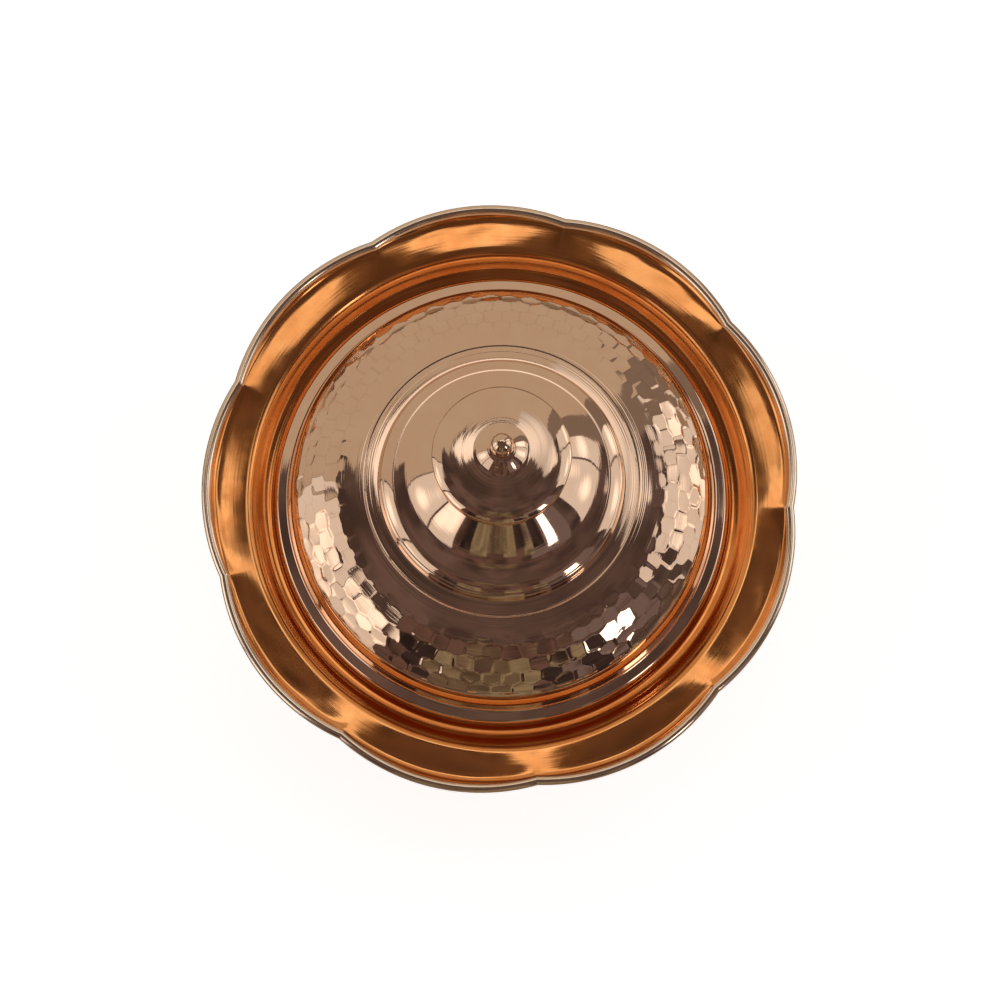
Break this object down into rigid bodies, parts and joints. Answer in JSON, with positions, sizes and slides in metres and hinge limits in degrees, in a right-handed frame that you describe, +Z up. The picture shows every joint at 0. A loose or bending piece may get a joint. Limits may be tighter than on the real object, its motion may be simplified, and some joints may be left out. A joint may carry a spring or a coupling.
{
  "type": "lidded copper bowl",
  "caption": "Round hammered copper bowl on a low foot, with a lobed flared rim and a lift-off domed lid with a mushroom knob.",
  "frame": {"origin": "on the table under the middle of the foot", "axes": "+Z up along the bowl's axis; the lobe directions are 17 degrees plus multiples of 40 from +X"},
  "size_m": [0.2007, 0.201, 0.1297],
  "materials": {
    "bowl_copper": "polished copper, hammered outside, tinned inside the belly",
    "foot_copper": "polished spun copper",
    "lid_copper": "polished copper, hammered dome, lathe-turned rings",
    "knob_copper": "polished spun copper",
    "wire": "plain drawn iron wire",
    "solder": "tin solder, dull",
    "steel": "plain steel"
  },
  "bodies": {
    "bowl": {"bowl_shell": "bowl_copper", "rim_wire": "wire", "foot_ring": "foot_copper", "foot_wire": "wire", "foot_solder": "solder"},
    "lid": {"lid_shell": "lid_copper", "knob_base": "knob_copper", "knob_cap": "knob_copper", "knob_ball": "knob_copper", "knob_stud": "steel", "knob_washer": "steel", "knob_nut": "steel"}
  },
  "joints": [
    {"name": "lid_lift", "type": "slide", "parent": "bowl", "child": "lid", "axis": [0, 0, 1], "range_m": [0, 0.1]}
  ]
}
